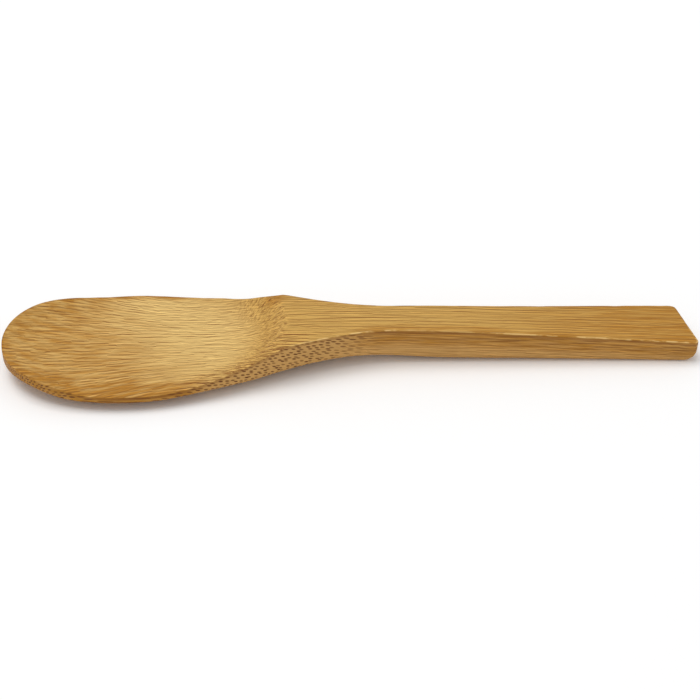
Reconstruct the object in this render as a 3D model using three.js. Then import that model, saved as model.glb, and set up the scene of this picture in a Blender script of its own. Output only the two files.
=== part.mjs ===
// A bamboo spoon carved from one strip of culm wall, lying on a table.
// Units are millimetres and +Z is up. The origin is on the table, midway along the spoon, and +X runs
// from the bowl towards the end of the handle. Distances named AT and FROM start at the tip of the bowl.

import * as THREE from 'three';

const { clamp, degToRad, lerp, smoothstep } = THREE.MathUtils;

// Plan
const LENGTH = 200;
const BOWL_WIDTH = 48.4;
const BOWL_WIDEST_AT = 36.8;
const TIP_FULLNESS = 2.26; // power of the tip's outline: 2 is an ellipse, more is blunter
const NECK_WIDTH = 12.3;
const NECK_AT = 112.5;
const HANDLE_END_WIDTH = 18.9;
const HANDLE_FLARE = 1.4; // power of the handle's widening: 1 is a straight taper, more flares late
const END_CUT_SLANT = 11.8; // degrees off square, with the long corner on the -Y side
const END_CORNER_RADIUS = 2;

// Upper edge: heights over the table, and where it falls, climbs and bends
const TIP_HEIGHT = 8.1;
const BOWL_RIM_HEIGHT = 4.7;
const CREST_HEIGHT = 12;
const HANDLE_END_HEIGHT = 6.7;
const TIP_LEVEL_TO = 5;
const RIM_LEVEL_FROM = 30.3;
const CLIMB_FROM = 45.2;
const CREST_AT = 81.1;
const CLIMB_POWER = 1.9; // 1 climbs evenly to the crest, more climbs late and ends in a sharper corner
const HANDLE_BEND_FROM = 102;
const HANDLE_BEND_LENGTH = 24;
const ARRIS_EASE = 0.4;

// Scoop: a shallow trough with a round end against the neck
const FLOOR_THICKNESS = 3;
const SCOOP_DEEPEST_AT = 44;
const TIP_DISH_POWER = 3.5; // how soon the floor levels out on the way in from the tip
const SCOOP_WALL_FROM = 58;
const SCOOP_END_AT = 81;
const SCOOP_END_RADIUS = 17.8;
const SCOOP_WALL_POWER = 2.4; // the wall stays low, then rises late and steeply when large
const SCOOP_OFFSET = 0.8; // how far its round end is off centre, towards +Y
const RIM_LAND_SHARE = 0.1; // part of the half width beside the scoop that stays flat along the rim

// Side faces and underside
const TIP_EDGE_HEIGHT = 3.2;
const RIM_EDGE_HEIGHT = 2;
const EDGE_THINS_FROM = 16.4;
const EDGE_THIN_AT = 29;
const SIDE_DEEPENS_FROM = 49;
const SIDE_DEEP_AT = 73.3;
const LOWER_ROUNDING = 2;
const ARCH_HEIGHT = 2.7;
const ARCH_FROM = 50;
const ARCH_AT = 98.4;
const UNDERSIDE_STRAIGHT_FROM = 130;
const UNDERSIDE_RISE = 1.25; // degrees between the handle's straight underside and the table
const HANDLE_RESTS_FROM = 153.9;
const SANDED_FLAT = 0.25; // taken off where the spoon rests on the table
const END_UNDERCUT_LENGTH = 4.2; // the end's lower edge is rounded away over this length
const END_UNDERCUT_HEIGHT = 4.4;
const BOWL_FULLNESS = 2; // power of the cross-section's lower curve: rounder when small
const HANDLE_FULLNESS = 7; // squarer when large

// Facets: sections along each stretch, strips across the top, and shares of the half width underneath
const TIP_STEPS = 18;
const BOWL_STEPS = 12;
const SCOOP_WALL_STEPS = 26;
const NECK_STEPS = 14;
const HANDLE_STEPS = 16;
const END_SHARES = [1, 0.74, 0.5, 0.3, 0.16, 0.06, 0];
const TOP_STRIPS = 24;
const LOWER_STRIPS = [0, 0.18, 0.4, 0.58, 0.72, 0.84, 0.93, 1];
const ARRIS_SHARE = 0.3;

const slantRun = Math.tan(degToRad(END_CUT_SLANT));
const endCentreAt = LENGTH - (HANDLE_END_WIDTH / 2 - END_CORNER_RADIUS) * slantRun;

// Half the width in plan: a blunt ellipse round the tip, an eased waist, then a flaring handle
function halfWidth(x) {
  if (x < BOWL_WIDEST_AT) {
    const back = 1 - x / BOWL_WIDEST_AT;
    return (BOWL_WIDTH / 2) * (1 - back ** TIP_FULLNESS) ** (1 / TIP_FULLNESS);
  }
  const waist = lerp(BOWL_WIDTH, NECK_WIDTH, smoothstep(x, BOWL_WIDEST_AT, NECK_AT));
  const along = clamp((x - NECK_AT) / (LENGTH - NECK_AT), 0, 1);
  return (waist + (HANDLE_END_WIDTH - NECK_WIDTH) * along ** HANDLE_FLARE) / 2;
}

// Height of the upper edge: down from the tip, up to the crest, level, then bending into the handle
function rimHeight(x) {
  const tipLift = (TIP_HEIGHT - BOWL_RIM_HEIGHT) * (1 - smoothstep(x, TIP_LEVEL_TO, RIM_LEVEL_FROM));
  const up = clamp((x - CLIMB_FROM) / (CREST_AT - CLIMB_FROM), 0, 1);
  const climb = (CREST_HEIGHT - BOWL_RIM_HEIGHT) * up ** CLIMB_POWER;
  return BOWL_RIM_HEIGHT + tipLift + climb - handleFall(Math.max(x - HANDLE_BEND_FROM, 0));
}

function handleFall(run) {
  const bend = Math.min(run, HANDLE_BEND_LENGTH);
  const eased = bend ** 2 / (2 * HANDLE_BEND_LENGTH) + run - bend;
  const whole = LENGTH - HANDLE_BEND_FROM - HANDLE_BEND_LENGTH / 2;
  return ((CREST_HEIGHT - HANDLE_END_HEIGHT) * eased) / whole;
}

// Height of the scoop's floor on its centre line: down from the tip, level, then up the wall to the neck
function floorHeight(x) {
  const fromTip = Math.max(1 - x / SCOOP_DEEPEST_AT, 0) ** TIP_DISH_POWER;
  const up = clamp((x - SCOOP_WALL_FROM) / (SCOOP_END_AT - SCOOP_WALL_FROM), 0, 1) ** SCOOP_WALL_POWER;
  const wall = (rimHeight(SCOOP_END_AT) - FLOOR_THICKNESS) * up;
  return FLOOR_THICKNESS + (TIP_HEIGHT - FLOOR_THICKNESS) * fromTip + wall;
}

// Half the scoop's width in plan: it follows the rim, then closes in a round end
function scoopHalfWidth(x) {
  const roundFrom = SCOOP_END_AT - SCOOP_END_RADIUS;
  const into = Math.max(x - roundFrom, 0);
  const round = Math.sqrt(Math.max(SCOOP_END_RADIUS ** 2 - into ** 2, 0));
  return lerp(halfWidth(x) * (1 - RIM_LAND_SHARE), round, smoothstep(x, BOWL_WIDEST_AT, roundFrom));
}

// Depth of the scoop under the upper edge
function scoopDepth(x, y) {
  const across = y - SCOOP_OFFSET * smoothstep(x, 0, SCOOP_DEEPEST_AT);
  const reach = scoopHalfWidth(x);
  if (Math.abs(across) >= reach) return 0;
  return Math.max(rimHeight(x) - floorHeight(x), 0) * (1 - (across / reach) ** 2);
}

// Height of the edge left between the rim and the underside of the bowl
function edgeHeight(x) {
  return lerp(TIP_EDGE_HEIGHT, RIM_EDGE_HEIGHT, smoothstep(x, EDGE_THINS_FROM, EDGE_THIN_AT));
}

// Height of the underside on the centre line, before the resting places are sanded flat
function undersideHeight(x) {
  if (x < SCOOP_DEEPEST_AT) {
    const inward = smoothstep(x, 0, SCOOP_DEEPEST_AT);
    return floorHeight(x) - lerp(TIP_EDGE_HEIGHT, FLOOR_THICKNESS, inward);
  }
  const straight = (at) => (HANDLE_RESTS_FROM - at) * Math.tan(degToRad(UNDERSIDE_RISE));
  const arch = (ARCH_HEIGHT - straight(ARCH_AT)) * (1 - smoothstep(x, ARCH_AT, UNDERSIDE_STRAIGHT_FROM));
  return (straight(x) + arch) * smoothstep(x, ARCH_FROM, ARCH_AT);
}

// How far an edge rounded over a length has drawn in at a distance short of the end cut
function endInset(short, length, most) {
  const into = Math.max(1 - short / length, 0);
  return most * (1 - Math.sqrt(1 - into ** 2));
}

// One cross-section, a ring of points counter-clockwise as seen from the handle's end
function section(station) {
  const short = endCentreAt - station;
  const half = halfWidth(station) - endInset(short, END_CORNER_RADIUS, END_CORNER_RADIUS);
  const shear = slantRun * smoothstep(station, UNDERSIDE_STRAIGHT_FROM, endCentreAt);
  const neckShare = smoothstep(station, SIDE_DEEPENS_FROM, SIDE_DEEP_AT);
  const fullness = lerp(BOWL_FULLNESS, HANDLE_FULLNESS, neckShare);
  const inner = half - Math.min(ARRIS_EASE, half / 2);
  const lengthwise = (y) => station - shear * y;
  const ring = [];

  const upper = (y) => {
    const x = lengthwise(y);
    return rimHeight(x) - scoopDepth(x, y) - endInset(short, ARRIS_EASE, ARRIS_EASE);
  };
  const lower = (side) => {
    const x = lengthwise(side * half);
    const middle = undersideHeight(x);
    const edge = lerp(rimHeight(x) - edgeHeight(x), middle + LOWER_ROUNDING, neckShare);
    const height = middle + (edge - middle) * Math.abs(side) ** fullness - SANDED_FLAT;
    return Math.max(height, 0) + endInset(short, END_UNDERCUT_LENGTH, END_UNDERCUT_HEIGHT);
  };
  const add = (y, z) => ring.push(new THREE.Vector3(lengthwise(y) - LENGTH / 2, y, z));
  const addWall = (way) => {
    const top = upper(way * inner);
    const levels = [
      [inner + (half - inner) * (1 - ARRIS_SHARE), top - ARRIS_EASE * ARRIS_SHARE],
      [half, top - ARRIS_EASE],
      [half, (top - ARRIS_EASE + lower(way)) / 2],
    ];
    if (way > 0) levels.reverse();
    for (const [y, z] of levels) add(way * y, z);
  };

  for (let i = 0; i <= TOP_STRIPS; i += 1) {
    const y = inner * (1 - (2 * i) / TOP_STRIPS);
    add(y, upper(y));
  }
  addWall(-1);
  for (const share of LOWER_STRIPS.slice(1).reverse()) add(-share * half, lower(-share));
  for (const share of LOWER_STRIPS) add(share * half, lower(share));
  addWall(1);
  return ring;
}

// Section places: close together round the tip, the crest and the rounded end
function stations() {
  const places = [];
  const run = (from, to, steps) => {
    for (let i = 0; i < steps; i += 1) places.push(lerp(from, to, i / steps));
  };
  for (let i = 0; i < TIP_STEPS; i += 1) {
    places.push(BOWL_WIDEST_AT * (1 - Math.cos((i / TIP_STEPS) * (Math.PI / 2))));
  }
  run(BOWL_WIDEST_AT, SCOOP_WALL_FROM, BOWL_STEPS);
  run(SCOOP_WALL_FROM, CREST_AT, SCOOP_WALL_STEPS);
  run(CREST_AT, UNDERSIDE_STRAIGHT_FROM, NECK_STEPS);
  run(UNDERSIDE_STRAIGHT_FROM, endCentreAt - END_UNDERCUT_LENGTH, HANDLE_STEPS);
  for (const share of END_SHARES) places.push(endCentreAt - END_UNDERCUT_LENGTH * share);
  return places;
}

// A closed skin over the sections: they meet in an upright edge at the tip, and a fan closes the end
function loft(sections) {
  const count = sections[0].length;
  const points = sections.flat();
  const last = sections.at(-1);
  const centre = last.reduce((sum, p) => sum.add(p), new THREE.Vector3()).divideScalar(count);
  points.push(centre);
  const index = [];
  const addTriangle = (a, b, c) => {
    const distinct = points[a].distanceTo(points[b]) * points[b].distanceTo(points[c]);
    if (distinct * points[c].distanceTo(points[a]) > 0) index.push(a, b, c);
  };
  for (let i = 0; i + 1 < sections.length; i += 1) {
    for (let j = 0; j < count; j += 1) {
      const next = (j + 1) % count;
      const here = i * count;
      const there = here + count;
      addTriangle(here + j, here + next, there + j);
      addTriangle(here + next, there + next, there + j);
    }
  }
  const lastStart = (sections.length - 1) * count;
  for (let j = 0; j < count; j += 1) {
    addTriangle(points.length - 1, lastStart + j, lastStart + ((j + 1) % count));
  }
  const geometry = new THREE.BufferGeometry().setFromPoints(points);
  geometry.setIndex(index);
  geometry.computeVertexNormals();
  return geometry;
}

const bamboo = new THREE.MeshStandardMaterial({ color: 0xc69c5a, roughness: 0.55, metalness: 0 });

const spoonBody = new THREE.Mesh(loft(stations().map(section)), bamboo);
spoonBody.name = 'spoon_body';

const spoon = new THREE.Group();
spoon.add(spoonBody);

export default spoon;
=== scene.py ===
# %% [markdown]
# # A bamboo spoon
# The spoon is carved from one strip of bamboo wall and lies on a table. Its measured solid is loaded
# first and never changes. This lesson gives it a finer skin, then a bamboo that is patterned all the way
# through, so that every cut face shows the fibres as the real cut does.

# %% Load the measured solid
import math

import bmesh
import bpy
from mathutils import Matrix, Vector, kdtree, noise


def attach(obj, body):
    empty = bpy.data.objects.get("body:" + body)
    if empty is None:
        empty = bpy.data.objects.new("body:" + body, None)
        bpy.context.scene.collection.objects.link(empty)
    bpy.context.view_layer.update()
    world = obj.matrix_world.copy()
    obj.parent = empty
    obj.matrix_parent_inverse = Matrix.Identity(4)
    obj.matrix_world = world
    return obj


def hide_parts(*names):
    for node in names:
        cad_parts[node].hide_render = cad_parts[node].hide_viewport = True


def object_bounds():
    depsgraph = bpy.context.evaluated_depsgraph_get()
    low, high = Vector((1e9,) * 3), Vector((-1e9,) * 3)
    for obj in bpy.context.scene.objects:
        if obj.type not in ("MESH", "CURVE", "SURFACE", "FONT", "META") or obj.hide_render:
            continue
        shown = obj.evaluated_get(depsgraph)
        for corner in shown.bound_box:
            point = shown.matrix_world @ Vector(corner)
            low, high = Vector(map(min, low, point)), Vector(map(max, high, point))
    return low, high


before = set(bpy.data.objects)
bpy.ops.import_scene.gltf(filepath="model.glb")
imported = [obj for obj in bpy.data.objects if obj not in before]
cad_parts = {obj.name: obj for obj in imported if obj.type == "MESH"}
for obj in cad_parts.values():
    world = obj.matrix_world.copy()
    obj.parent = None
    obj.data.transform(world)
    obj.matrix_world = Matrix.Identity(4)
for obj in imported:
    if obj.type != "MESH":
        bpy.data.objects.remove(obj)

MM = 0.001
solid_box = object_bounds()
spoon_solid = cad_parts["spoon_body"]
spoon_length = solid_box[1].x - solid_box[0].x
print(f"solid: {len(spoon_solid.data.polygons)} triangles, {spoon_length / MM:.1f} mm long")

# %% [markdown]
# ## The camera
# The spoon is seen from a little above and almost square on, from far enough away that its two long edges
# hardly converge. A long lens does that. The lens follows from how many pixels a millimetre takes up at
# the point that the camera looks at, so the framing stays right if the distance is changed.

# %% Camera
IMAGE_SIDE_PX = 700
PX_PER_MM = 3.425
CAMERA_AZIMUTH = math.radians(-2.5)
CAMERA_ELEVATION = math.radians(38)
CAMERA_DISTANCE = 450 * MM
CAMERA_TARGET = Vector((-0.1, 0, 0.45)) * MM
CAMERA_SEES_FROM = 10 * MM

camera = bpy.data.objects.new("camera", bpy.data.cameras.new("camera"))
bpy.context.scene.collection.objects.link(camera)
bpy.context.scene.camera = camera
view_back = Vector((
    math.sin(CAMERA_AZIMUTH) * math.cos(CAMERA_ELEVATION),
    -math.cos(CAMERA_AZIMUTH) * math.cos(CAMERA_ELEVATION),
    math.sin(CAMERA_ELEVATION),
))
camera.location = CAMERA_TARGET + view_back * CAMERA_DISTANCE
camera.rotation_euler = (-view_back).to_track_quat("-Z", "Y").to_euler()
camera.data.lens = PX_PER_MM * (CAMERA_DISTANCE / MM) / IMAGE_SIDE_PX * camera.data.sensor_width
camera.data.clip_start = CAMERA_SEES_FROM
print(f"camera: {camera.data.lens:.1f} mm lens, {CAMERA_DISTANCE / MM:.0f} mm away")

# %% [markdown]
# ## One way to add a node, one way to write a colour
# Every material below is a small tree of nodes. One function adds a node, sets what is fixed on it and
# links what comes from other nodes. Colours are written as they look on a screen, and turned to the
# linear values that light is reckoned in.


# %% Helpers for materials
def linear(hex_colour):
    """A screen colour such as "#c69c5a" as linear red, green, blue and full alpha."""
    channels = [int(hex_colour[i:i + 2], 16) / 255 for i in (1, 3, 5)]
    return [c / 12.92 if c <= 0.04045 else ((c + 0.055) / 1.055) ** 2.4 for c in channels] + [1]


def add_node(tree, kind, inputs=(), **settings):
    """Adds a node with its settings; inputs pairs a socket's name or number with a value or an output."""
    made = tree.nodes.new(kind)
    for name, value in settings.items():
        setattr(made, name, value)
    for socket, value in dict(inputs).items():
        if isinstance(value, bpy.types.NodeSocket):
            tree.links.new(value, made.inputs[socket])
        else:
            made.inputs[socket].default_value = value
    return made.outputs


def new_material(name):
    """An empty material and its node tree."""
    material = bpy.data.materials.new(name)
    material.use_nodes = True
    material.node_tree.nodes.clear()
    return material, material.node_tree


print("bamboo tan in linear light:", [round(c, 3) for c in linear("#c69c5a")])

# %% [markdown]
# ## The table and the light
# The spoon lies on a plain white table under a broad soft lamp, high up and a little behind its bowl,
# with an even white sky. Together they light a flat surface so that its colour comes out about as
# written. The lamp is far off, so the table is lit evenly from end to end. The sky looks plain white to
# the camera, however dim it is as a lamp.

# %% Table
TABLE_SIDE = 6.0
TABLE_DROP = 0.02 * MM

table_mesh = bpy.data.meshes.new("table")
table_form = bmesh.new()
bmesh.ops.create_grid(table_form, x_segments=1, y_segments=1, size=TABLE_SIDE / 2)
bmesh.ops.translate(table_form, verts=table_form.verts, vec=(0, 0, -TABLE_DROP))
table_form.to_mesh(table_mesh)
table_form.free()
table = bpy.data.objects.new("table", table_mesh)
bpy.context.scene.collection.objects.link(table)

table_white, tree = new_material("white laminate, matt")
matt = add_node(tree, "ShaderNodeBsdfDiffuse", {"Color": linear("#ffffff")})
add_node(tree, "ShaderNodeOutputMaterial", {"Surface": matt[0]})
table_mesh.materials.append(table_white)
print(f"table: {TABLE_SIDE:.0f} m square")

# %% Sky and lamp
SKY_LIGHT = 0.6
LAMP_AT = Vector((-0.9, 0.5, 2.8))
LAMP_SIDE = 2.0
LAMP_WATTS = 45

sky = bpy.data.worlds.new("studio sky")
bpy.context.scene.world = sky
sky.use_nodes = True
sky.node_tree.nodes.clear()
rays = add_node(sky.node_tree, "ShaderNodeLightPath")
lit = add_node(sky.node_tree, "ShaderNodeBackground", {"Color": linear("#ffffff"), "Strength": SKY_LIGHT})
shown = add_node(sky.node_tree, "ShaderNodeBackground", {"Color": linear("#ffffff"), "Strength": 1})
mixed = add_node(sky.node_tree, "ShaderNodeMixShader", {0: rays["Is Camera Ray"], 1: lit[0], 2: shown[0]})
add_node(sky.node_tree, "ShaderNodeOutputWorld", {"Surface": mixed[0]})

lamp = bpy.data.objects.new("soft lamp", bpy.data.lights.new("soft lamp", "AREA"))
bpy.context.scene.collection.objects.link(lamp)
lamp.location = LAMP_AT
lamp.rotation_euler = (-LAMP_AT).to_track_quat("-Z", "Y").to_euler()
lamp.data.size = LAMP_SIDE
lamp.data.energy = LAMP_WATTS
bpy.context.scene.view_settings.view_transform = "Standard"
print(f"lamp: {LAMP_WATTS} W, {LAMP_AT.length:.2f} m away")

# %% [markdown]
# ## The skin
# The real spoon was shaped on a belt sander and then eased by hand along its upper edges. The solid
# already has that form in flat facets. A copy of it is welded and its triangles are paired into quads,
# because subdivision rounds a net of quads evenly and leaves the closely spaced rows at the edges crisp.
# A remesh would blur those edges.

# %% Weld the copy and pair its triangles
WELD = 0.001 * MM
PAIR_FLATNESS = math.radians(50)
PAIR_SQUARENESS = math.radians(180)

spoon_form = bmesh.new()
spoon_form.from_mesh(spoon_solid.data)
bmesh.ops.remove_doubles(spoon_form, verts=spoon_form.verts, dist=WELD)
bmesh.ops.join_triangles(
    spoon_form,
    faces=spoon_form.faces,
    angle_face_threshold=PAIR_FLATNESS,
    angle_shape_threshold=PAIR_SQUARENESS,
)
spoon_form.normal_update()
quads = sum(len(face.verts) == 4 for face in spoon_form.faces)
print(f"skin: {quads} quads and {len(spoon_form.faces) - quads} triangles left")

# %% [markdown]
# Wear with its painted highlight, oil, painted shade and sanding all follow the spoon's upper edge, so
# the material has to know how far away it is.
# The edge is where a face that looks up meets one that looks sideways. It is noted here, before the skin
# is rounded, as a row of closely spaced points.

# %% Note where the upper edge runs
TOP_FACES_UP = 0.8
SIDE_FACES_UP = 0.6
EDGE_POINTS_APART = 0.4 * MM


def on_upper_edge(vert):
    """Whether a point has both a face that looks up and one that looks sideways beside it."""
    ups = [face.normal.z for face in vert.link_faces]
    return max(ups) > TOP_FACES_UP and min(ups) < SIDE_FACES_UP


edge_verts = {vert for vert in spoon_form.verts if on_upper_edge(vert)}
edge_points = []
for edge in spoon_form.edges:
    if edge_verts.issuperset(edge.verts):
        start, stop = (vert.co for vert in edge.verts)
        steps = math.ceil(edge.calc_length() / EDGE_POINTS_APART)
        edge_points += [start.lerp(stop, step / steps) for step in range(steps)]
edge_tree = kdtree.KDTree(len(edge_points))
for index, point in enumerate(edge_points):
    edge_tree.insert(point, index)
edge_tree.balance()
print(f"upper edge: {len(edge_points)} points")

# %% [markdown]
# Subdivision now turns the facets into curves. Its result is kept as plain points, because the hand work
# further on moves each of them.

# %% Round the skin
SKIN_LEVELS = 2

coarse_mesh = bpy.data.meshes.new("spoon_coarse")
spoon_form.to_mesh(coarse_mesh)
spoon_form.free()
spoon = bpy.data.objects.new("spoon", coarse_mesh)
bpy.context.scene.collection.objects.link(spoon)
rounding = spoon.modifiers.new("rounding", "SUBSURF")
rounding.levels = SKIN_LEVELS
rounding.render_levels = SKIN_LEVELS
spoon_mesh = bpy.data.meshes.new_from_object(spoon.evaluated_get(bpy.context.evaluated_depsgraph_get()))
spoon.modifiers.clear()
spoon.data = spoon_mesh
spoon_mesh.name = "spoon"
bpy.data.meshes.remove(coarse_mesh)
for face in spoon_mesh.polygons:
    face.use_smooth = True
print(f"rounded skin: {len(spoon_mesh.polygons)} quads")

# %% [markdown]
# Each point of the rounded skin now gets its distance from the edge in millimetres: above zero on the
# upper face, below zero on the sides. A distance blends evenly across a face, so even a narrow line
# beside the edge comes out clean.

# %% Measure the distance from the edge
UPPER_FACE_UP = 0.65

normals = [vert.normal.copy() for vert in spoon_mesh.vertices]
gaps = []
for vert, normal in zip(spoon_mesh.vertices, normals):
    gap = edge_tree.find(vert.co)[2] / MM
    gaps.append(gap if normal.z > UPPER_FACE_UP else -gap)
edge_gap = spoon_mesh.attributes.new("edge_gap_mm", "FLOAT", "POINT")
edge_gap.data.foreach_set("value", gaps)
print(f"edge gap: {min(gaps):.1f} to {max(gaps):.1f} mm")

# %% [markdown]
# ## Hand work
# A hand with sandpaper never leaves a face quite true, and it takes more off a sharp edge than off a
# flat. So the points sink a little into the wood by a slow noise, and along the edge by a quicker one.
# They only ever sink, which keeps the spoon inside its measured size, and the flats that it lies on stay
# flat.

# %% Sand the skin by hand
HOLLOWS_DEEP = 0.06 * MM
HOLLOWS_LONG = 26 * MM
NICKS_DEEP = 0.14 * MM
NICKS_LONG = 4.5 * MM
NICKS_REACH_MM = 1.2
FLATS_UNDER = 0.5 * MM

deepest = 0
for vert, gap, normal in zip(spoon_mesh.vertices, gaps, normals):
    if vert.co.z < FLATS_UNDER:
        continue
    slow = (1 + noise.noise(vert.co / HOLLOWS_LONG)) / 2
    quick = max(0, noise.noise(vert.co / NICKS_LONG)) * max(0, 1 - abs(gap) / NICKS_REACH_MM)
    depth = HOLLOWS_DEEP * slow + NICKS_DEEP * quick
    vert.co -= normal * depth
    deepest = max(deepest, depth)
print(f"sanded: up to {deepest / MM:.2f} mm off")

# %% [markdown]
# ## Bamboo, sanded and lightly oiled
# Bamboo is a pale ground full of stiff brown bundles that run along the strip. A face cut along them
# shows lines, and a face cut across them shows dots. A picture wrapped on the skin could not do that, so
# the bamboo is a pattern in space, drawn out along the strip. Its fibres follow the top of the handle,
# waver a little, and fan out towards the tip of the bowl. Sizes are in millimetres.

# %% Fibre coordinates
FIBRE_FALL = math.radians(3.5)
FAN_MM = (-46, -92)
FAN_SPREAD = 0.5
FAN_CENTRE_MM = 3.5
WANDER_SIZE_MM = (20, 6, 6)
WANDER_MM = 0.2
NOISE_MIDDLE = 0.5

bamboo, tree = new_material("bamboo, sanded and lightly oiled")
place = add_node(tree, "ShaderNodeTexCoord")["Object"]
strip = add_node(tree, "ShaderNodeMapping", {
    "Vector": place, "Rotation": (0, -FIBRE_FALL, 0), "Scale": (1 / MM, 1 / MM, 1 / MM)})[0]
along, across, deep = add_node(tree, "ShaderNodeSeparateXYZ", {0: strip})
fan = add_node(tree, "ShaderNodeMapRange", {
    "Value": along, "From Min": FAN_MM[0], "From Max": FAN_MM[1], "To Min": 1, "To Max": 1 + FAN_SPREAD},
    interpolation_type="SMOOTHSTEP")[0]
sideways = add_node(tree, "ShaderNodeMath", {0: across, 1: FAN_CENTRE_MM}, operation="SUBTRACT")[0]
sideways = add_node(tree, "ShaderNodeMath", {0: sideways, 1: fan}, operation="DIVIDE")[0]
fanned = add_node(tree, "ShaderNodeCombineXYZ", {0: along, 1: sideways, 2: deep})[0]
wander_at = add_node(tree, "ShaderNodeVectorMath", {0: fanned, 1: WANDER_SIZE_MM}, operation="DIVIDE")[0]
wander = add_node(tree, "ShaderNodeTexNoise", {"Vector": wander_at, "Scale": 1, "Detail": 1})["Color"]
wander = add_node(tree, "ShaderNodeVectorMath", {
    0: wander, 1: (NOISE_MIDDLE, NOISE_MIDDLE, NOISE_MIDDLE)}, operation="SUBTRACT")[0]
fibre, straight = (
    add_node(tree, "ShaderNodeVectorMath", {
        0: wander, 1: (0, WANDER_MM, WANDER_MM), 2: base}, operation="MULTIPLY_ADD")[0]
    for base in (fanned, strip))
print(f"fibres: {math.degrees(FIBRE_FALL):.1f} degrees off level, {1 + FAN_SPREAD} times as wide at tip")

# %% [markdown]
# The marks change along the spoon, across it and away from its upper edge. Each fade below runs from the
# place where a mark has no part to the place where it has its full part. Along counts from -100 at the
# tip to 100 at the end of the handle. Across is below zero on the near side, and the gap from the edge
# below zero on the side faces. The land is the strip of upper face between the scoop and the near edge.

# %% Where each mark fades in
ALONG_FADES_MM = {
    "bowl": (-78, -45),
    "neck": (-40, -18),
    "handle": (10, 45),
    "wide_rim_oil": (-48, -68),
    "rim_oil_off_tip": (-96, -84),
    "land_start": (-52, -40),
    "land_stop": (-12, -20),
    "thin_bundles": (-14, 4),
    "dark_line": (-88, -64),
    # The next three fades place the pale edge line, partly wear and partly a painted highlight.
    "worn_highlight": (-24, -10),
    "worn_highlight_less": (8, 18),
    "worn_highlight_again": (30, 48),
}
ACROSS_FADES_MM = {"near": (-1, -3), "far": (2, 4), "off_near_rim": (-18, 2)}
# The far edge fade lays painted shade along the far edge and down its side face.
GAP_FADES_MM = {"side": (0.05, -0.25), "land": (7, 3), "low_on_side": (-2, -6), "far_edge_shade": (0.9, 0.2)}

edge_gap_mm = add_node(tree, "ShaderNodeAttribute", attribute_name="edge_gap_mm")["Fac"]
fade = {}
for value, fades in ((along, ALONG_FADES_MM), (across, ACROSS_FADES_MM), (edge_gap_mm, GAP_FADES_MM)):
    for name, (none_at, full_at) in fades.items():
        fade[name] = add_node(tree, "ShaderNodeMapRange", {
            "Value": value, "From Min": none_at, "From Max": full_at})[0]
land = fade["land"]
for name in ("land_start", "land_stop", "near"):
    land = add_node(tree, "ShaderNodeMath", {0: land, 1: fade[name]}, operation="MULTIPLY")[0]
print("fades:", ", ".join(fade))

# %% [markdown]
# The bundles stand in staggered rows across the strip. Each has a firm core and a softer skirt, and some
# are paler than others. They are a flat cell pattern that does not change along the strip, so a face that
# is cut slantwise across them shows each one as a short dot.

# %% Bundles
BUNDLE_APART_MM = 0.58
BUNDLE_DEEP_MM = 0.95
BUNDLE_STAGGER = 0.5
BUNDLE_SCATTER = 0.6
BUNDLE_CORE, BUNDLE_SKIRT = 0.22, 0.36
BUNDLE_FAINT, BUNDLE_STRONG = 0.6, 1.0

bundle_at = add_node(tree, "ShaderNodeVectorMath", {
    0: straight, 1: (1, BUNDLE_APART_MM, BUNDLE_DEEP_MM)}, operation="DIVIDE")[0]
_, column, row = add_node(tree, "ShaderNodeSeparateXYZ", {0: bundle_at})
column = add_node(tree, "ShaderNodeMath", {
    0: row, 1: BUNDLE_STAGGER, 2: column}, operation="MULTIPLY_ADD")[0]
bundle_at = add_node(tree, "ShaderNodeCombineXYZ", {0: column, 1: row})[0]
cells = add_node(tree, "ShaderNodeTexVoronoi", {
    "Vector": bundle_at, "Scale": 1, "Randomness": BUNDLE_SCATTER}, voronoi_dimensions="2D")
bundle = add_node(tree, "ShaderNodeMapRange", {
    "Value": cells["Distance"], "From Min": BUNDLE_SKIRT, "From Max": BUNDLE_CORE},
    interpolation_type="SMOOTHSTEP")[0]
bundle_luck = add_node(tree, "ShaderNodeSeparateColor", {0: cells["Color"]})[0]
bundle_luck = add_node(tree, "ShaderNodeMapRange", {
    "Value": bundle_luck, "To Min": BUNDLE_FAINT, "To Max": BUNDLE_STRONG})[0]
bundle = add_node(tree, "ShaderNodeMath", {0: bundle, 1: bundle_luck}, operation="MULTIPLY")[0]
print(f"bundles: one every {BUNDLE_APART_MM} by {BUNDLE_DEEP_MM} mm")

# %% [markdown]
# Between the bundles the ground is drawn out into fine lines, some long and some short. Each kind is the
# difference of two samples of one cell pattern, taken a little apart across the fibres. A dark line then
# has a pale one beside it, and no broad stain is left. Under the upper face the layers of the culm lean
# to the near side and change little with depth, so the lines stay long and nearly level even up the wall
# of the scoop. The real lines are under a tenth of a millimetre wide. They are drawn wider here, because
# a pixel covers about a third of a millimetre.

# %% Lines
LINE_SIZES_MM = {"streak": (16, 0.32, 0.34), "dash": (3.6, 0.32, 0.34)}
TOP_APART_MM = 0.42
SIDE_APART_MM = 0.36
TOP_LEAN = 0.75
TOP_DEPTH_SHARE = 0.25

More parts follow.
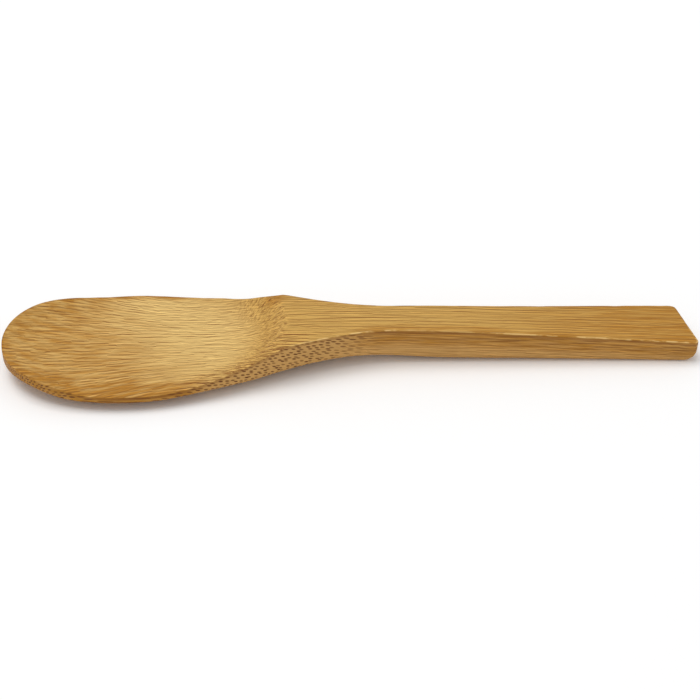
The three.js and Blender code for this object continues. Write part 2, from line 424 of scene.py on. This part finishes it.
apart_across, apart_deep, lean, depth_share = (
    add_node(tree, "ShaderNodeMapRange", {"Value": fade["side"], "To Min": on_top, "To Max": on_side})[0]
    for on_top, on_side in ((TOP_APART_MM, 0), (0, SIDE_APART_MM), (TOP_LEAN, 0), (TOP_DEPTH_SHARE, 1)))
fibre_along, leaning, layer = add_node(tree, "ShaderNodeSeparateXYZ", {0: fibre})
leaning = add_node(tree, "ShaderNodeMath", {0: layer, 1: lean, 2: leaning}, operation="MULTIPLY_ADD")[0]
layer = add_node(tree, "ShaderNodeMath", {0: layer, 1: depth_share}, operation="MULTIPLY")[0]
lined = add_node(tree, "ShaderNodeCombineXYZ", {0: fibre_along, 1: leaning, 2: layer})[0]
apart = add_node(tree, "ShaderNodeCombineXYZ", {1: apart_across, 2: apart_deep})[0]
beside = add_node(tree, "ShaderNodeVectorMath", {0: lined, 1: apart}, operation="ADD")[0]
grain = {}
for name, size in LINE_SIZES_MM.items():
    pair = []
    for base in (lined, beside):
        line_at = add_node(tree, "ShaderNodeVectorMath", {0: base, 1: size}, operation="DIVIDE")[0]
        line = add_node(tree, "ShaderNodeTexVoronoi", {"Vector": line_at, "Scale": 1})["Color"]
        pair.append(add_node(tree, "ShaderNodeSeparateColor", {0: line})[0])
    grain[name] = add_node(tree, "ShaderNodeMath", {0: pair[0], 1: pair[1]}, operation="SUBTRACT")[0]
print("lines, long, wide and deep in mm:", LINE_SIZES_MM)

# %% [markdown]
# Softer marks follow the fibres too: flecks of starchy tissue, clouds where the culm is denser, the
# breaks in the worn edge's painted highlight and the traces of the cloth that wiped the oil on. Each is a
# noise of its own size.

# %% Clouds
CLOUD_SIZES_MM = {
    "fleck": (2.5, 0.4, 0.8),
    "cloud": (14, 4, 3),
    # This noise breaks the pale edge line, partly wear and partly a painted highlight.
    "rub_highlight": (3.5, 1, 1),
    "wipe": (9, 1.1, 1.1),
}
CLOUD_DETAIL = 3

for name, size in CLOUD_SIZES_MM.items():
    cloud_at = add_node(tree, "ShaderNodeVectorMath", {0: fibre, 1: size}, operation="DIVIDE")[0]
    grain[name] = add_node(tree, "ShaderNodeTexNoise", {
        "Vector": cloud_at, "Scale": 1, "Detail": CLOUD_DETAIL})["Fac"]
print("clouds, long, wide and deep in mm:", CLOUD_SIZES_MM)

# %% [markdown]
# The round end of the scoop was sanded with a small drum. Its short marks lie on the wall only and run
# outwards from the middle of the round. They are cells counted outwards and around, so that they turn
# with the wall.

# %% Sanding marks
SCOOP_CENTRE_MM = (-36.8, 0.8, 0)
MARK_LONG_MM = 0.75
MARK_WIDE_MM = 0.22
WALL_RADIUS_MM = 15
MARKS_START_MM, MARKS_STOP_MM = (7, 13), (19, 17.5)
MARKS_ALONG_MM, MARKS_ACROSS_MM = (2, 8), (-15, -7)

from_centre = add_node(tree, "ShaderNodeVectorMath", {
    0: strip, 1: SCOOP_CENTRE_MM}, operation="SUBTRACT")[0]
from_centre = add_node(tree, "ShaderNodeVectorMath", {
    0: from_centre, 1: (1, 1, 0)}, operation="MULTIPLY")[0]
outwards = add_node(tree, "ShaderNodeVectorMath", {0: from_centre}, operation="LENGTH")["Value"]
out_along, out_across, _ = add_node(tree, "ShaderNodeSeparateXYZ", {0: from_centre})
around = add_node(tree, "ShaderNodeMath", {0: out_across, 1: out_along}, operation="ARCTAN2")[0]
mark_at = add_node(tree, "ShaderNodeCombineXYZ", {0: outwards, 1: around})[0]
mark_at = add_node(tree, "ShaderNodeVectorMath", {
    0: mark_at, 1: (1 / MARK_LONG_MM, WALL_RADIUS_MM / MARK_WIDE_MM, 0)}, operation="MULTIPLY")[0]
mark = add_node(tree, "ShaderNodeTexVoronoi", {
    "Vector": mark_at, "Scale": 1}, voronoi_dimensions="2D")["Color"]
mark = add_node(tree, "ShaderNodeSeparateColor", {0: mark})
grain["mark"] = add_node(tree, "ShaderNodeMath", {0: mark[0], 1: mark[1]}, operation="SUBTRACT")[0]
sanded_wall = 1
for value, (none_at, full_at) in ((outwards, MARKS_START_MM), (outwards, MARKS_STOP_MM),
                                  (out_along, MARKS_ALONG_MM), (out_across, MARKS_ACROSS_MM)):
    sanded_wall = add_node(tree, "ShaderNodeMapRange", {
        "Value": value, "From Min": none_at, "From Max": full_at, "To Max": sanded_wall})[0]
print(f"sanding marks: {MARK_LONG_MM} by {MARK_WIDE_MM} mm")

# %% [markdown]
# The plain wood is palest deep in the wall, where the scoop has cut down to it, and browner near the
# outside of the culm. The side faces are a little duller.

# %% Plain wood
INNER_MM, OUTER_MM = 0, 7
INNER_WALL = "#debb74"
OUTER_WALL = "#c89e52"
CUT_SIDE = "#c89a58"

wall_share = add_node(tree, "ShaderNodeMapRange", {
    "Value": deep, "From Min": INNER_MM, "From Max": OUTER_MM}, interpolation_type="SMOOTHSTEP")[0]
wood = add_node(tree, "ShaderNodeMix", {
    0: wall_share, 6: linear(INNER_WALL), 7: linear(OUTER_WALL)}, data_type="RGBA")[2]
wood = add_node(tree, "ShaderNodeMix", {
    0: fade["side"], 6: wood, 7: linear(CUT_SIDE)}, data_type="RGBA")[2]
print("plain wood:", INNER_WALL, "inside,", OUTER_WALL, "outside,", CUT_SIDE, "on the sides")

# %% [markdown]
# Oil was wiped on and has darkened the wood unevenly: most at the tip, along the near rim, at the far end
# of the ridge and towards the end of the handle. The neck is cut steeply across the fibres and has stayed
# dry. The patches have cloudy borders, and the cloth has left traces along the fibres.

# %% Oil
OILED = "#ae7826"
NEAR_RIM_OIL_MM, FAR_RIM_OIL_MM = 22, 5
RIM_OIL_BY_SCOOP, RIM_OIL_AT_TIP = 0.45, 0.25
RIM_BLOTCH = 1.6
RIM_OIL = 0.95
SIDE_OIL_MM = (-6.4, -3.6)
BOWL_OIL_MM = (-36, -50)
HANDLE_OIL_MM, HANDLE_OIL = (-6, 8), 0.75
TIP_OIL_MM, TIP_OIL = (-40, -78), 0.66
TIP_OIL_SLANT = 0.5
TIP_BLOTCH_MM = 25
END_OIL_MM, END_OIL, END_SIDE_OIL = (20, 95), 0.78, 0.156
RIDGE_END_MM = (-22, 13, 9.7)
RIDGE_OIL_MM, RIDGE_OIL = (6, 1), 0.8
NOISE_SPAN = (0.35, 0.65)
WIPE_LEVEL = 0.35

blotch = add_node(tree, "ShaderNodeMath", {0: grain["cloud"], 1: NOISE_MIDDLE}, operation="SUBTRACT")[0]
rim_reach = add_node(tree, "ShaderNodeMapRange", {
    "Value": fade["off_near_rim"], "To Min": NEAR_RIM_OIL_MM, "To Max": FAR_RIM_OIL_MM})[0]
for name, least in (("wide_rim_oil", RIM_OIL_BY_SCOOP), ("rim_oil_off_tip", RIM_OIL_AT_TIP)):
    share = add_node(tree, "ShaderNodeMapRange", {"Value": fade[name], "To Min": least, "To Max": 1})[0]
    rim_reach = add_node(tree, "ShaderNodeMath", {0: rim_reach, 1: share}, operation="MULTIPLY")[0]
off_rim = add_node(tree, "ShaderNodeMath", {0: edge_gap_mm, 1: rim_reach}, operation="DIVIDE")[0]
off_rim = add_node(tree, "ShaderNodeMath", {
    0: blotch, 1: RIM_BLOTCH, 2: off_rim}, operation="MULTIPLY_ADD")[0]
to_tip = add_node(tree, "ShaderNodeMath", {
    0: across, 1: TIP_OIL_SLANT, 2: along}, operation="MULTIPLY_ADD")[0]
to_tip = add_node(tree, "ShaderNodeMath", {
    0: blotch, 1: TIP_BLOTCH_MM, 2: to_tip}, operation="MULTIPLY_ADD")[0]
off_ridge = add_node(tree, "ShaderNodeVectorMath", {
    0: strip, 1: RIDGE_END_MM}, operation="DISTANCE")["Value"]
end_oil = add_node(tree, "ShaderNodeMapRange", {
    "Value": fade["side"], "To Min": END_OIL, "To Max": END_SIDE_OIL})[0]
soaked = {}
for name, value, (dry_at, oiled_at), most in (
        ("rim", off_rim, (1, 0), RIM_OIL), ("side", edge_gap_mm, SIDE_OIL_MM, 1),
        ("bowl", along, BOWL_OIL_MM, 1), ("handle", along, HANDLE_OIL_MM, HANDLE_OIL),
        ("tip", to_tip, TIP_OIL_MM, TIP_OIL), ("end", along, END_OIL_MM, end_oil),
        ("ridge", off_ridge, RIDGE_OIL_MM, RIDGE_OIL)):
    soaked[name] = add_node(tree, "ShaderNodeMapRange", {
        "Value": value, "From Min": dry_at, "From Max": oiled_at, "To Max": most},
        interpolation_type="SMOOTHSTEP")[0]
held = add_node(tree, "ShaderNodeMath", {0: fade["near"], 1: fade["side"]}, operation="MAXIMUM")[0]
held = add_node(tree, "ShaderNodeMath", {0: held, 1: soaked["handle"]}, operation="MULTIPLY")[0]
wet = add_node(tree, "ShaderNodeMath", {0: soaked["bowl"], 1: held}, operation="MAXIMUM")[0]
oil = add_node(tree, "ShaderNodeMath", {0: soaked["rim"], 1: soaked["side"]}, operation="MINIMUM")[0]
oil = add_node(tree, "ShaderNodeMath", {0: oil, 1: wet}, operation="MULTIPLY")[0]
for name in ("tip", "end", "ridge"):
    oil = add_node(tree, "ShaderNodeMath", {0: oil, 1: soaked[name]}, operation="MAXIMUM")[0]
wiped = add_node(tree, "ShaderNodeMapRange", {
    "Value": grain["wipe"], "From Min": NOISE_SPAN[0], "From Max": NOISE_SPAN[1],
    "To Min": 1 - WIPE_LEVEL, "To Max": 1 + WIPE_LEVEL})[0]
oil = add_node(tree, "ShaderNodeMath", {0: oil, 1: wiped}, operation="MULTIPLY")[0]
wood = add_node(tree, "ShaderNodeMix", {0: oil, 6: wood, 7: linear(OILED)}, data_type="RGBA")[2]
print("oil:", OILED, "on", ", ".join(soaked))

# %% [markdown]
# The lines differ from place to place: short and close in the bowl, long on the neck and handle, bold on
# the land, and almost lost on the neck's side face. The sanded wall of the scoop has its marks instead. A
# dark line mixes brown into the wood. A pale one only lightens it, which keeps its colour.

# %% Lay the lines on the wood
LINE_BROWN = "#7f4e18"
PALE_LEVEL = 0.33
LINE_STRENGTHS = {
    "tip": {"streak": 0.3, "dash": 0.9, "mark": 0},
    "bowl": {"streak": 0.35, "dash": 0.9, "mark": 0},
    "neck": {"streak": 1.2, "dash": 0.5, "mark": 0},
    "handle": {"streak": 0.95, "dash": 0.4, "mark": 0},
    "sanded wall": {"streak": 0.1, "dash": 0.5, "mark": 1.15},
    "land": {"streak": 1.8, "dash": 1.8, "mark": 0},
    "neck side": {"streak": 0.15, "dash": 0.1, "mark": 0},
    "handle side": {"streak": 0.9, "dash": 0.2, "mark": 0},
}

for kind, strength in LINE_STRENGTHS["tip"].items():
    for name, part in (("bowl", fade["bowl"]), ("neck", fade["neck"]), ("handle", fade["handle"]),
                       ("sanded wall", sanded_wall), ("land", land)):
        strength = add_node(tree, "ShaderNodeMapRange", {
            "Value": part, "To Min": strength, "To Max": LINE_STRENGTHS[name][kind]})[0]
    side_strength = add_node(tree, "ShaderNodeMapRange", {
        "Value": soaked["handle"],
        "To Min": LINE_STRENGTHS["neck side"][kind], "To Max": LINE_STRENGTHS["handle side"][kind]})[0]
    strength = add_node(tree, "ShaderNodeMapRange", {
        "Value": fade["side"], "To Min": strength, "To Max": side_strength})[0]
    dark = add_node(tree, "ShaderNodeMapRange", {"Value": grain[kind], "To Max": strength})[0]
    pale = add_node(tree, "ShaderNodeMath", {0: strength, 1: 1}, operation="MINIMUM")[0]
    pale = add_node(tree, "ShaderNodeMath", {0: pale, 1: PALE_LEVEL, 2: 1}, operation="MULTIPLY_ADD")[0]
    pale = add_node(tree, "ShaderNodeMapRange", {
        "Value": grain[kind], "From Min": 0, "From Max": -1, "To Min": 1, "To Max": pale})[0]
    wood = add_node(tree, "ShaderNodeMix", {0: dark, 6: wood, 7: linear(LINE_BROWN)}, data_type="RGBA")[2]
    wood = add_node(tree, "ShaderNodeVectorMath", {0: wood, 3: pale}, operation="SCALE")[0]
print("line strengths:", LINE_STRENGTHS)

# %% [markdown]
# The cut bundles show as dots where a face crosses them: boldly on the side of the neck, where they thin
# out downwards to the inner wall, and hardly at all on the upper face. Flecks and clouds then make the
# whole a little lighter here and darker there.

# %% Lay the bundles and clouds on the wood
BUNDLE_BROWN = "#60310a"
TOP_BUNDLES, WALL_BUNDLES = 0.06, 0.05
NECK_SIDE_BUNDLES, HANDLE_SIDE_BUNDLES = 1.0, 0.35
LOW_BUNDLES = 0.35
CLOUD_LEVELS = {"fleck": 0.03, "cloud": 0.02}

low_share = add_node(tree, "ShaderNodeMapRange", {
    "Value": fade["thin_bundles"], "To Min": 1, "To Max": LOW_BUNDLES})[0]
low_share = add_node(tree, "ShaderNodeMapRange", {
    "Value": fade["low_on_side"], "To Min": 1, "To Max": low_share})[0]
side_bundles = add_node(tree, "ShaderNodeMapRange", {
    "Value": soaked["handle"], "To Min": NECK_SIDE_BUNDLES, "To Max": HANDLE_SIDE_BUNDLES})[0]
side_bundles = add_node(tree, "ShaderNodeMath", {0: side_bundles, 1: low_share}, operation="MULTIPLY")[0]
top_bundles = add_node(tree, "ShaderNodeMapRange", {
    "Value": sanded_wall, "To Min": TOP_BUNDLES, "To Max": WALL_BUNDLES})[0]
dots = add_node(tree, "ShaderNodeMapRange", {
    "Value": fade["side"], "To Min": top_bundles, "To Max": side_bundles})[0]
dots = add_node(tree, "ShaderNodeMath", {0: bundle, 1: dots}, operation="MULTIPLY")[0]
wood = add_node(tree, "ShaderNodeMix", {0: dots, 6: wood, 7: linear(BUNDLE_BROWN)}, data_type="RGBA")[2]
for name, level in CLOUD_LEVELS.items():
    light = add_node(tree, "ShaderNodeMapRange", {
        "Value": grain[name], "From Min": NOISE_SPAN[0], "From Max": NOISE_SPAN[1],
        "To Min": 1 - level, "To Max": 1 + level})[0]
    wood = add_node(tree, "ShaderNodeVectorMath", {0: wood, 3: light}, operation="SCALE")[0]
print("bundles:", BUNDLE_BROWN, "clouds:", CLOUD_LEVELS)

# %% [markdown]
# The near edge of the neck and handle is the one that rubs against the pot. Its broken pale line is
# partly that wear and partly a painted highlight, where light catches the eased edge. Just under it runs
# a broken dark line, strongest where the wood is oiled. From the far edge down, painted shade darkens the
# wood where the rounded far edge turns away from the light.

# %% Worn edges, painted highlight and shade
# The pale edge colour is partly wear and partly a painted highlight where light catches the eased edge.
EDGE_WORN_HIGHLIGHT = "#ebc680"
# This dark colour serves the line under the near edge and the painted shade at the far edge.
EDGE_DARK_AND_SHADE = "#7d4a18"
EDGE_LINES_MM = {"pale": (-0.05, 0.35), "dark": (-0.8, -0.25)}
EDGE_FADE_MM = 0.2
WORN_HIGHLIGHT_LESS, WORN_HIGHLIGHT_AGAIN = 0.35, 0.9
RUB_HIGHLIGHT_SPAN, RUBBED_HIGHLIGHT = (0.42, 0.55), 0.8
DARK_LINE, DARK_WHERE_DRY = 0.6, 0.6
# Painted shade along the rounded far edge and down its side face.
FAR_EDGE_SHADE = 0.2

edge_line = {}
for name, (low, high) in EDGE_LINES_MM.items():
    rising = add_node(tree, "ShaderNodeMapRange", {
        "Value": edge_gap_mm, "From Min": low - EDGE_FADE_MM, "From Max": low})[0]
    falling = add_node(tree, "ShaderNodeMapRange", {
        "Value": edge_gap_mm, "From Min": high + EDGE_FADE_MM, "From Max": high})[0]
    edge_line[name] = add_node(tree, "ShaderNodeMath", {0: rising, 1: falling}, operation="MULTIPLY")[0]
    edge_line[name] = add_node(tree, "ShaderNodeMath", {
        0: edge_line[name], 1: fade["near"]}, operation="MULTIPLY")[0]
worn_highlight_less = add_node(tree, "ShaderNodeMapRange", {
    "Value": fade["worn_highlight_less"], "To Min": 1, "To Max": WORN_HIGHLIGHT_LESS})[0]
worn_highlight_again = add_node(tree, "ShaderNodeMath", {
    0: fade["worn_highlight_again"], 1: WORN_HIGHLIGHT_AGAIN}, operation="MULTIPLY")[0]
worn_highlight = add_node(tree, "ShaderNodeMath", {0: worn_highlight_less, 1: worn_highlight_again}, operation="MAXIMUM")[0]
rubbed_highlight = add_node(tree, "ShaderNodeMapRange", {
    "Value": grain["rub_highlight"], "From Min": RUB_HIGHLIGHT_SPAN[0], "From Max": RUB_HIGHLIGHT_SPAN[1], "To Max": RUBBED_HIGHLIGHT})[0]
stained = add_node(tree, "ShaderNodeMath", {0: wet, 1: DARK_WHERE_DRY}, operation="MAXIMUM")[0]
stained = add_node(tree, "ShaderNodeMath", {0: stained, 1: DARK_LINE}, operation="MULTIPLY")[0]
far_shade_line = add_node(tree, "ShaderNodeMath", {
    0: fade["far_edge_shade"], 1: FAR_EDGE_SHADE}, operation="MULTIPLY")[0]
# Lays the dark line, the pale line (partly wear, partly painted highlight) and the painted shade at the
# far edge.
for line, parts, colour in (
        (edge_line["dark"], (stained, fade["dark_line"]), EDGE_DARK_AND_SHADE),
        (edge_line["pale"], (rubbed_highlight, fade["worn_highlight"], worn_highlight), EDGE_WORN_HIGHLIGHT),
        (far_shade_line, (fade["far"],), EDGE_DARK_AND_SHADE)):
    for part in parts:
        line = add_node(tree, "ShaderNodeMath", {0: line, 1: part}, operation="MULTIPLY")[0]
    wood = add_node(tree, "ShaderNodeMix", {0: line, 6: wood, 7: linear(colour)}, data_type="RGBA")[2]
print("worn edges:", EDGE_WORN_HIGHLIGHT, "over", EDGE_DARK_AND_SHADE)

# %% [markdown]
# Sanding leaves the flecks a little proud and the bundles a little sunk, and a wipe of oil gives a satin
# sheen that is far from a varnish. The relief is a fortieth of a millimetre deep, so a bump is enough for
# it.

# %% Relief and shine
RELIEF_MM = 0.025
BAMBOO_ROUGHNESS = 0.55
BAMBOO_IOR = 1.5
BAMBOO_SHINE = 0.2

relief = add_node(tree, "ShaderNodeMath", {0: grain["fleck"], 1: bundle}, operation="SUBTRACT")[0]
uneven = add_node(tree, "ShaderNodeBump", {
    "Strength": 1, "Distance": RELIEF_MM * MM, "Height": relief})[0]
shader = add_node(tree, "ShaderNodeBsdfPrincipled", {
    "Base Color": wood, "Roughness": BAMBOO_ROUGHNESS, "IOR": BAMBOO_IOR,
    "Specular IOR Level": BAMBOO_SHINE, "Normal": uneven})
add_node(tree, "ShaderNodeOutputMaterial", {"Surface": shader[0]})
spoon_mesh.materials.clear()
spoon_mesh.materials.append(bamboo)
print(f"bamboo: {len(tree.nodes)} nodes")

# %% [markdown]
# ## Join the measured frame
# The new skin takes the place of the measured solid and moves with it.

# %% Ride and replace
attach(spoon, "root")
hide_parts("spoon_body")
